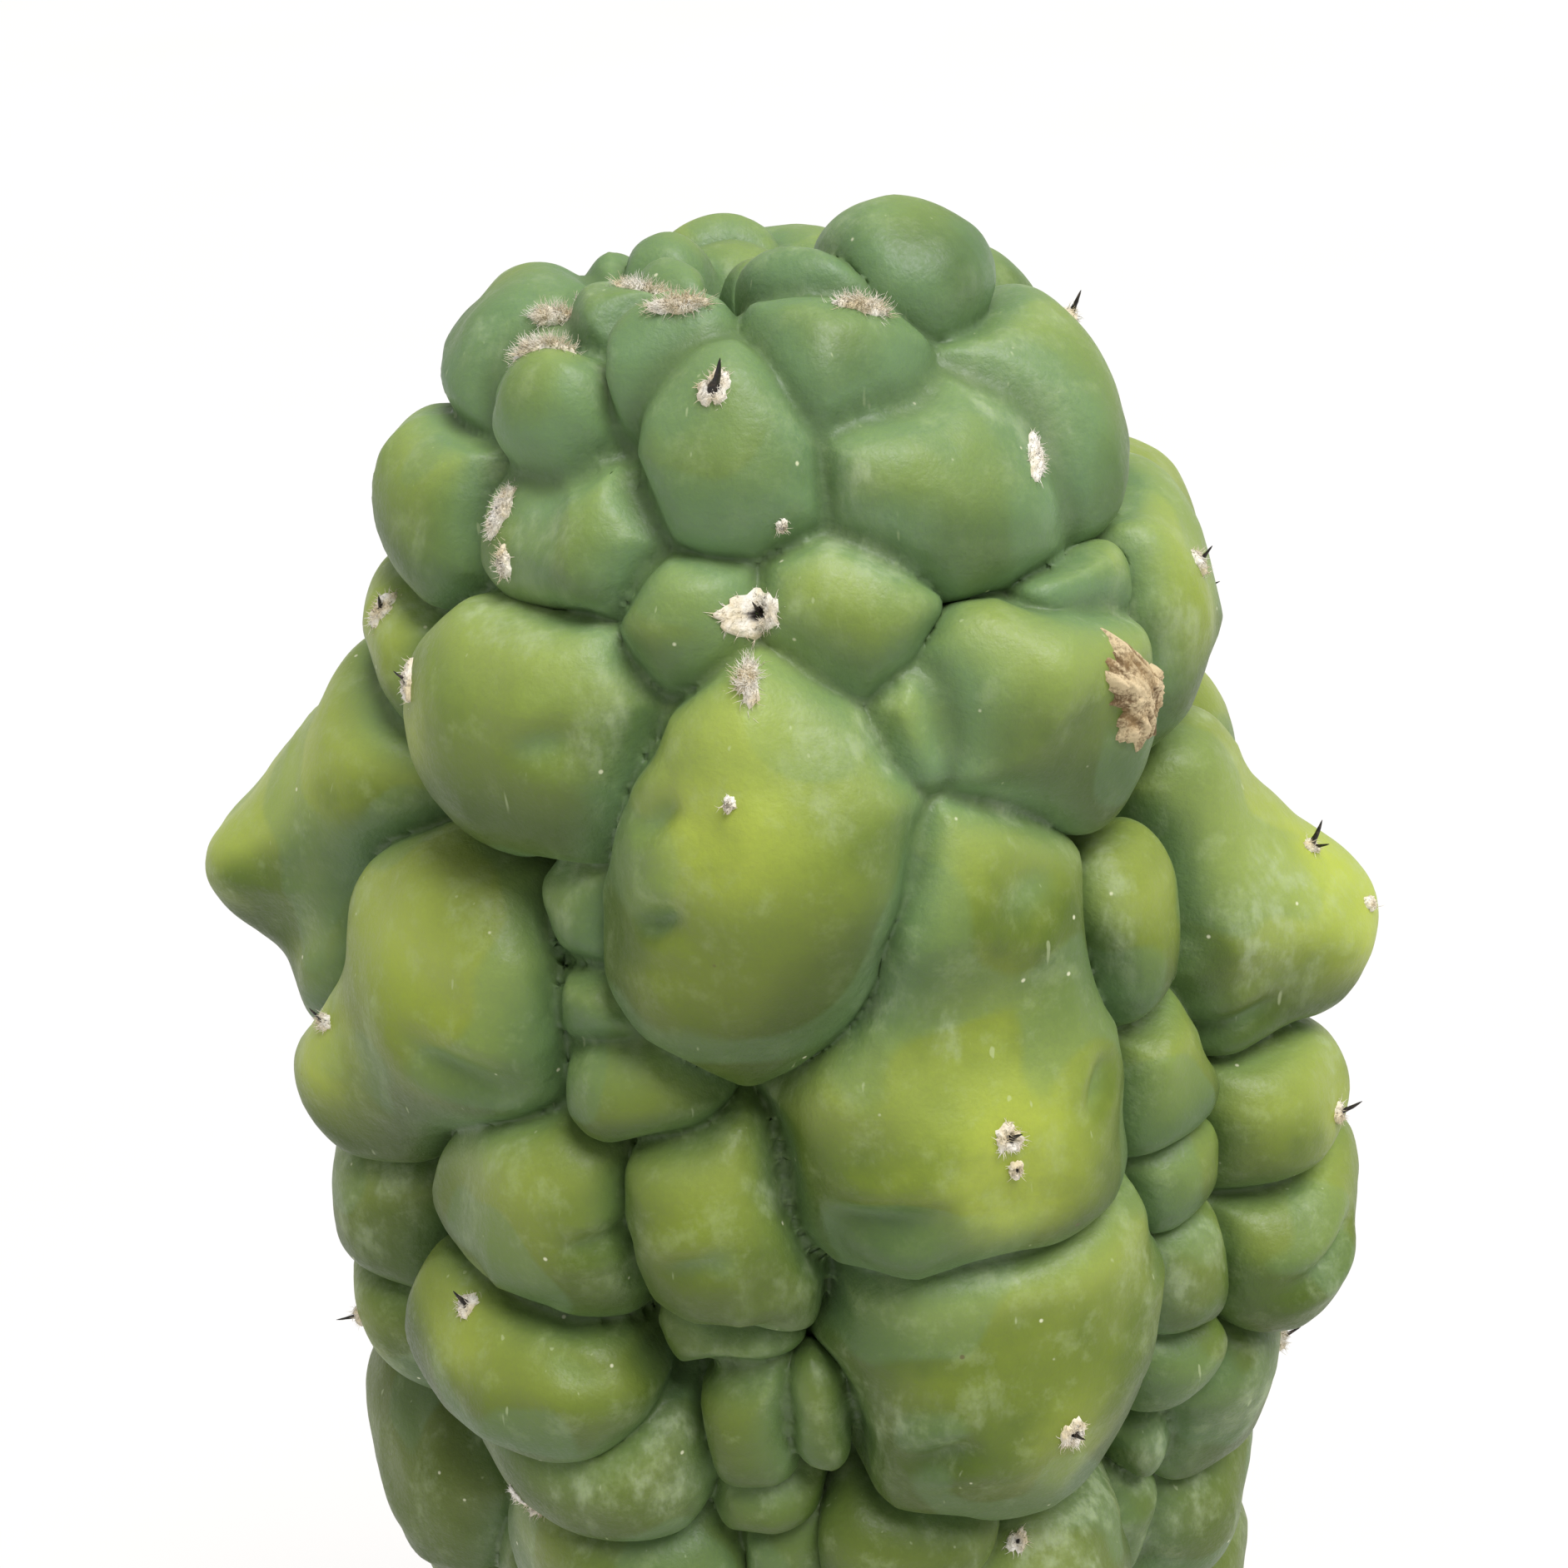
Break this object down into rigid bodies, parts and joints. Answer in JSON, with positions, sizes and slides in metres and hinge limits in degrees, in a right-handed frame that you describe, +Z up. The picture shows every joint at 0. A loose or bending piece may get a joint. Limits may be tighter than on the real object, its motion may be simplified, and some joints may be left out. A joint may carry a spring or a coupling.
{
  "type": "potted tall cactus",
  "caption": "Tall lumpy columnar cactus with few spines, rooted in a plain round clay flower pot that stands on its flat base.",
  "frame": {"origin": "middle of the pot's underside, on the ground", "axes": "+Z up along the stem to its growing tip, -Y towards the front, +X to the right"},
  "size_m": [0.24, 0.24, 0.6532],
  "materials": {
    "clay": "matte",
    "soil": "matte",
    "flesh": "satin",
    "wool": "matte",
    "spine": "satin",
    "cork": "matte"
  },
  "bodies": {
    "root": {"clay_pot": "clay", "cork_scar_1": "cork", "cork_scar_2": "cork", "potting_soil": "soil", "spine_01": "spine", "spine_02": "spine", "spine_03": "spine", "spine_04": "spine", "spine_05": "spine", "spine_06": "spine", "spine_07": "spine", "spine_08": "spine", "spine_09": "spine", "spine_10": "spine", "spine_11": "spine", "spine_12": "spine", "spine_13": "spine", "spine_14": "spine", "spine_15": "spine", "spine_16": "spine", "spine_17": "spine", "spine_18": "spine", "spine_19": "spine", "stem": "flesh", "wool_pad_01": "wool", "wool_pad_02": "wool", "wool_pad_03": "wool", "wool_pad_04": "wool", "wool_pad_05": "wool", "wool_pad_06": "wool", "wool_pad_07": "wool", "wool_pad_08": "wool", "wool_pad_09": "wool", "wool_pad_10": "wool", "wool_pad_11": "wool", "wool_pad_12": "wool", "wool_pad_13": "wool", "wool_pad_14": "wool", "wool_pad_15": "wool", "wool_pad_16": "wool", "wool_pad_17": "wool", "wool_pad_18": "wool", "wool_pad_19": "wool", "wool_pad_20": "wool", "wool_pad_21": "wool", "wool_pad_22": "wool", "wool_pad_23": "wool", "wool_pad_24": "wool", "wool_pad_25": "wool", "wool_pad_26": "wool", "wool_pad_27": "wool", "wool_pad_28": "wool", "wool_pad_29": "wool", "wool_pad_30": "wool", "wool_pad_31": "wool", "wool_pad_32": "wool", "wool_pad_33": "wool"}
  },
  "joints": []
}
